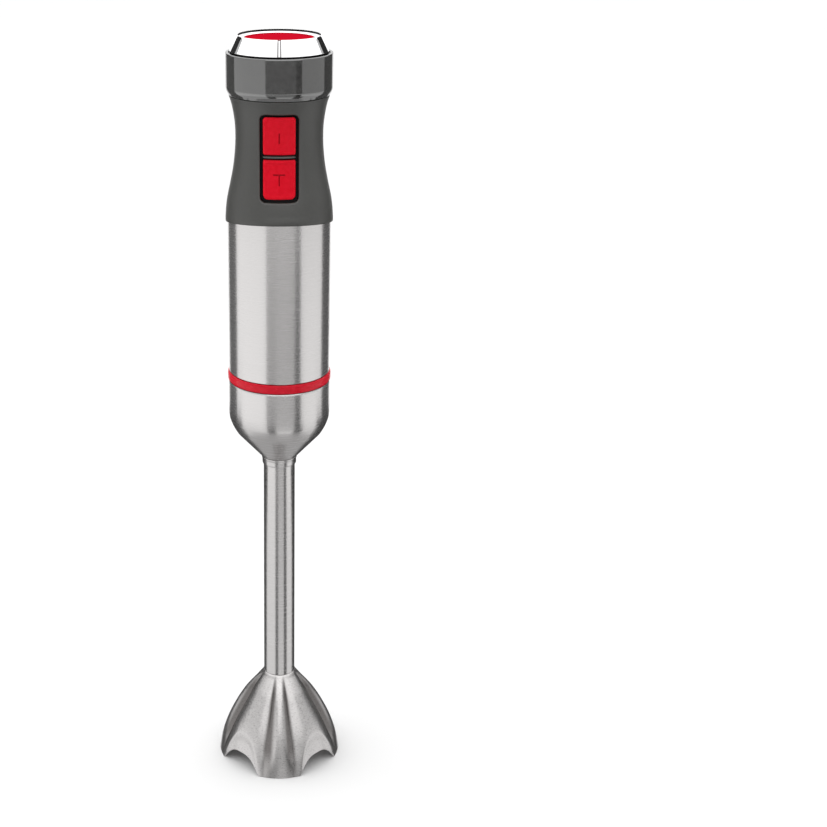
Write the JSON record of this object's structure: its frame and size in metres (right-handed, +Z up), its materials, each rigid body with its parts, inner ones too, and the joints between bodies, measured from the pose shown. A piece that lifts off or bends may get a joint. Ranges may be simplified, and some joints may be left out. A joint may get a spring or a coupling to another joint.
{
  "type": "immersion blender",
  "caption": "Hand-held immersion blender: speed dial, soft grip with push buttons, steel motor housing, and a twist-off steel foot with a scalloped bell and blade.",
  "frame": {"origin": "centre of the bell's rim plane, on the blender's vertical axis, where its four feet stand", "axes": "+Z up along the axis to the dial, -Y towards the buttons, +X to the right seen from the buttons"},
  "size_m": [0.0674, 0.0674, 0.4],
  "materials": {
    "chrome": "bright mirror chrome on the speed dial",
    "red_insert": "satin red insert in the dial",
    "red_button": "satin red push buttons",
    "red_ring": "glossy red trim ring",
    "gloss_grey": "glossy dark grey collar",
    "soft_grey": "fine-grained soft-touch grey grip",
    "brushed_steel": "brushed stainless steel, fine lines round the body",
    "satin_steel": "satin brushed stainless steel bell",
    "black_plastic": "matte black moulded plastic",
    "white_plastic": "natural white nylon",
    "bearing_steel": "ground steel",
    "blade_steel": "ground stainless blade steel",
    "laminated_iron": "stacked electrical steel sheets",
    "copper": "enamelled copper wire",
    "brass": "turned brass and sintered bronze",
    "aluminium": "plain aluminium",
    "carbon": "pressed carbon",
    "circuit_board": "green solder mask on a circuit board",
    "capacitor_yellow": "yellow moulded case",
    "black_rubber": "black rubber"
  },
  "bodies": {
    "motor_unit": {"top_collar": "gloss_grey", "cord_gland": "black_rubber", "potentiometer": "bearing_steel", "handle_grip": "soft_grey", "button_bezel": "black_plastic", "button_divider": "soft_grey", "chassis_front": "black_plastic", "chassis_rear": "black_plastic", "chassis_screw_lower": "bearing_steel", "chassis_screw_upper": "bearing_steel", "control_board": "circuit_board", "on_switch": "black_plastic", "turbo_switch": "black_plastic", "suppression_capacitor": "capacitor_yellow", "triac_heat_sink": "aluminium", "motor_housing": "brushed_steel", "trim_ring": "red_ring", "motor_bracket_upper": "black_plastic", "motor_bracket_lower": "black_plastic", "stator_core": "laminated_iron", "field_coil_left": "copper", "field_coil_right": "copper", "stator_screw_front": "bearing_steel", "stator_screw_back": "bearing_steel", "brush_holder_left": "brass", "brush_left": "carbon", "brush_holder_right": "brass", "brush_right": "carbon", "upper_bearing": "bearing_steel", "lower_bearing": "bearing_steel"},
    "dial": {"dial_ring": "chrome", "dial_insert": "red_insert", "dial_hub": "black_plastic", "dial_shaft": "aluminium"},
    "on_button": {"on_button": "red_button"},
    "turbo_button": {"turbo_button": "red_button"},
    "rotor": {"motor_shaft": "bearing_steel", "armature_core": "laminated_iron", "armature_winding_upper": "copper", "armature_winding_lower": "copper", "commutator": "copper", "cooling_fan": "black_plastic", "drive_dog": "white_plastic"},
    "seal": {"foot_seal": "black_rubber"},
    "foot": {"foot_shell": "brushed_steel", "foot_socket": "black_plastic", "neck_collar": "brushed_steel", "shaft_tube": "brushed_steel", "upper_bush": "brass", "lower_bush": "brass", "shaft_seal": "black_rubber", "bell": "satin_steel"},
    "blade": {"drive_socket": "white_plastic", "drive_shaft": "bearing_steel", "blade": "blade_steel", "blade_nut": "bearing_steel"}
  },
  "joints": [
    {"name": "dial_turn", "type": "hinge", "parent": "motor_unit", "child": "dial", "pos_m": [0, 0, 0.3914], "axis": [0, 0, 1], "range_deg": [-140, 140]},
    {"name": "on_press", "type": "slide", "parent": "motor_unit", "child": "on_button", "axis": [0, 1, 0], "range_m": [0, 0.0015], "stiffness_N_per_m": 600, "springref_m": -0.003},
    {"name": "turbo_press", "type": "slide", "parent": "motor_unit", "child": "turbo_button", "axis": [0, 1, 0], "range_m": [0, 0.0015], "stiffness_N_per_m": 600, "springref_m": -0.003},
    {"name": "motor_spin", "type": "hinge", "parent": "motor_unit", "child": "rotor", "pos_m": [0, 0, 0.272], "axis": [0, 0, 1], "continuous": true},
    {"name": "foot_release", "type": "slide", "parent": "motor_unit", "child": "seal", "axis": [0, 0, -1], "range_m": [0, 0.035]},
    {"name": "foot_twist", "type": "hinge", "parent": "seal", "child": "foot", "pos_m": [0, 0, 0.2232], "axis": [0, 0, 1], "range_deg": [0, 20]},
    {"name": "blade_spin", "type": "hinge", "parent": "foot", "child": "blade", "pos_m": [0, 0, 0.0126], "axis": [0, 0, 1], "continuous": true}
  ],
  "couplings": [
    {"joint": "blade_spin", "follows": "motor_spin", "ratio": 1}
  ]
}
